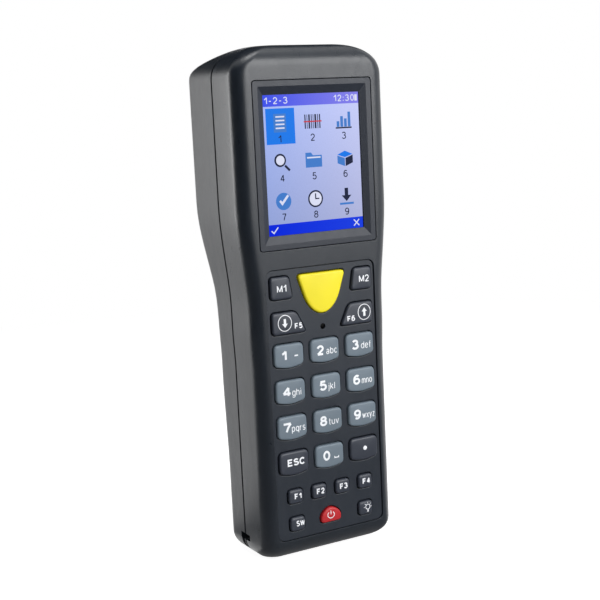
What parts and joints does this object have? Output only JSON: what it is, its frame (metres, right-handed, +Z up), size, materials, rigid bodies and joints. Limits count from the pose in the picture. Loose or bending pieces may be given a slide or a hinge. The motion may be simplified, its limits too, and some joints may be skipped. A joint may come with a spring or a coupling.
{
  "type": "handheld barcode data terminal",
  "caption": "Handheld barcode data terminal with a colour screen, a numeric keypad, a yellow scan key, a scan window in the top end and a hinged battery cover.",
  "frame": {"origin": "centre of the box of the whole object, at its bottom end", "axes": "+Z up along the length, the screen and keys face -Y, +X to the right seen from the front"},
  "size_m": [0.0554, 0.0364, 0.1662],
  "materials": {
    "case_plastic": "satin moulded, fine texture",
    "bezel_plastic": "satin moulded",
    "panel_plastic": "matte moulded",
    "window": "clear, glossy",
    "foam": "matte foam",
    "screen": "lit colour screen",
    "white_plastic": "matte",
    "lens": "smoked, glossy",
    "silicone": "matte silicone",
    "plated_steel": "plated",
    "board": "solder mask",
    "black_plastic": "matte",
    "red_window": "dark red, glossy",
    "battery_wrap": "shrink wrap",
    "dark_key": "satin, white legend",
    "grey_key": "satin, white legend",
    "yellow_key": "satin",
    "red_key": "satin, white legend",
    "screw_steel": "black oxide"
  },
  "bodies": {
    "case": {"front_case": "case_plastic", "rear_case": "case_plastic", "screen_bezel": "bezel_plastic", "display_window": "window", "keypad_panel": "panel_plastic", "status_lens": "lens", "usb_socket": "plated_steel", "scan_window": "red_window", "battery": "battery_wrap", "strap_pin": "plated_steel", "display_gasket": "foam", "lcd_module": "screen", "lcd_holder": "white_plastic", "keymat": "silicone", "dome_sheet": "plated_steel", "main_board": "board", "radio_module": "plated_steel", "buzzer": "black_plastic", "scan_bracket": "plated_steel", "scan_engine": "black_plastic", "battery_contacts": "black_plastic", "case_screw_1": "screw_steel", "case_screw_2": "screw_steel", "case_screw_3": "screw_steel", "case_screw_4": "screw_steel", "board_screw_1": "screw_steel", "board_screw_2": "screw_steel", "board_screw_3": "screw_steel", "board_screw_4": "screw_steel"},
    "battery_cover": {"battery_cover": "case_plastic"},
    "key_scan": {"key_scan": "yellow_key"},
    "key_m1": {"key_m1": "dark_key"},
    "key_m2": {"key_m2": "dark_key"},
    "key_f5": {"key_f5": "dark_key"},
    "key_f6": {"key_f6": "dark_key"},
    "key_1": {"key_1": "grey_key"},
    "key_2": {"key_2": "grey_key"},
    "key_3": {"key_3": "grey_key"},
    "key_4": {"key_4": "grey_key"},
    "key_5": {"key_5": "grey_key"},
    "key_6": {"key_6": "grey_key"},
    "key_7": {"key_7": "grey_key"},
    "key_8": {"key_8": "grey_key"},
    "key_9": {"key_9": "grey_key"},
    "key_esc": {"key_esc": "dark_key"},
    "key_0": {"key_0": "grey_key"},
    "key_dot": {"key_dot": "dark_key"},
    "key_f1": {"key_f1": "dark_key"},
    "key_f2": {"key_f2": "dark_key"},
    "key_f3": {"key_f3": "dark_key"},
    "key_f4": {"key_f4": "dark_key"},
    "key_sw": {"key_sw": "dark_key"},
    "key_power": {"key_power": "red_key"},
    "key_light": {"key_light": "dark_key"}
  },
  "joints": [
    {"name": "battery_cover_swing", "type": "hinge", "parent": "case", "child": "battery_cover", "pos_m": [0, 0.01063, 0.0261], "axis": [-1, 0, 0], "range_deg": [0, 80]},
    {"name": "key_scan_press", "type": "slide", "parent": "case", "child": "key_scan", "axis": [0, 1, 0], "range_m": [0, 0.0008], "stiffness_N_per_m": 1200, "springref_m": -0.0003},
    {"name": "key_m1_press", "type": "slide", "parent": "case", "child": "key_m1", "axis": [0, 1, 0], "range_m": [0, 0.0008], "stiffness_N_per_m": 1200, "springref_m": -0.0003},
    {"name": "key_m2_press", "type": "slide", "parent": "case", "child": "key_m2", "axis": [0, 1, 0], "range_m": [0, 0.0008], "stiffness_N_per_m": 1200, "springref_m": -0.0003},
    {"name": "key_f5_press", "type": "slide", "parent": "case", "child": "key_f5", "axis": [0, 1, 0], "range_m": [0, 0.0008], "stiffness_N_per_m": 1200, "springref_m": -0.0003},
    {"name": "key_f6_press", "type": "slide", "parent": "case", "child": "key_f6", "axis": [0, 1, 0], "range_m": [0, 0.0008], "stiffness_N_per_m": 1200, "springref_m": -0.0003},
    {"name": "key_1_press", "type": "slide", "parent": "case", "child": "key_1", "axis": [0, 1, 0], "range_m": [0, 0.0008], "stiffness_N_per_m": 1200, "springref_m": -0.0003},
    {"name": "key_2_press", "type": "slide", "parent": "case", "child": "key_2", "axis": [0, 1, 0], "range_m": [0, 0.0008], "stiffness_N_per_m": 1200, "springref_m": -0.0003},
    {"name": "key_3_press", "type": "slide", "parent": "case", "child": "key_3", "axis": [0, 1, 0], "range_m": [0, 0.0008], "stiffness_N_per_m": 1200, "springref_m": -0.0003},
    {"name": "key_4_press", "type": "slide", "parent": "case", "child": "key_4", "axis": [0, 1, 0], "range_m": [0, 0.0008], "stiffness_N_per_m": 1200, "springref_m": -0.0003},
    {"name": "key_5_press", "type": "slide", "parent": "case", "child": "key_5", "axis": [0, 1, 0], "range_m": [0, 0.0008], "stiffness_N_per_m": 1200, "springref_m": -0.0003},
    {"name": "key_6_press", "type": "slide", "parent": "case", "child": "key_6", "axis": [0, 1, 0], "range_m": [0, 0.0008], "stiffness_N_per_m": 1200, "springref_m": -0.0003},
    {"name": "key_7_press", "type": "slide", "parent": "case", "child": "key_7", "axis": [0, 1, 0], "range_m": [0, 0.0008], "stiffness_N_per_m": 1200, "springref_m": -0.0003},
    {"name": "key_8_press", "type": "slide", "parent": "case", "child": "key_8", "axis": [0, 1, 0], "range_m": [0, 0.0008], "stiffness_N_per_m": 1200, "springref_m": -0.0003},
    {"name": "key_9_press", "type": "slide", "parent": "case", "child": "key_9", "axis": [0, 1, 0], "range_m": [0, 0.0008], "stiffness_N_per_m": 1200, "springref_m": -0.0003},
    {"name": "key_esc_press", "type": "slide", "parent": "case", "child": "key_esc", "axis": [0, 1, 0], "range_m": [0, 0.0008], "stiffness_N_per_m": 1200, "springref_m": -0.0003},
    {"name": "key_0_press", "type": "slide", "parent": "case", "child": "key_0", "axis": [0, 1, 0], "range_m": [0, 0.0008], "stiffness_N_per_m": 1200, "springref_m": -0.0003},
    {"name": "key_dot_press", "type": "slide", "parent": "case", "child": "key_dot", "axis": [0, 1, 0], "range_m": [0, 0.0008], "stiffness_N_per_m": 1200, "springref_m": -0.0003},
    {"name": "key_f1_press", "type": "slide", "parent": "case", "child": "key_f1", "axis": [0, 1, 0], "range_m": [0, 0.0008], "stiffness_N_per_m": 1200, "springref_m": -0.0003},
    {"name": "key_f2_press", "type": "slide", "parent": "case", "child": "key_f2", "axis": [0, 1, 0], "range_m": [0, 0.0008], "stiffness_N_per_m": 1200, "springref_m": -0.0003},
    {"name": "key_f3_press", "type": "slide", "parent": "case", "child": "key_f3", "axis": [0, 1, 0], "range_m": [0, 0.0008], "stiffness_N_per_m": 1200, "springref_m": -0.0003},
    {"name": "key_f4_press", "type": "slide", "parent": "case", "child": "key_f4", "axis": [0, 1, 0], "range_m": [0, 0.0008], "stiffness_N_per_m": 1200, "springref_m": -0.0003},
    {"name": "key_sw_press", "type": "slide", "parent": "case", "child": "key_sw", "axis": [0, 1, 0], "range_m": [0, 0.0008], "stiffness_N_per_m": 1200, "springref_m": -0.0003},
    {"name": "key_power_press", "type": "slide", "parent": "case", "child": "key_power", "axis": [0, 1, 0], "range_m": [0, 0.0008], "stiffness_N_per_m": 1200, "springref_m": -0.0003},
    {"name": "key_light_press", "type": "slide", "parent": "case", "child": "key_light", "axis": [0, 1, 0], "range_m": [0, 0.0008], "stiffness_N_per_m": 1200, "springref_m": -0.0003}
  ]
}
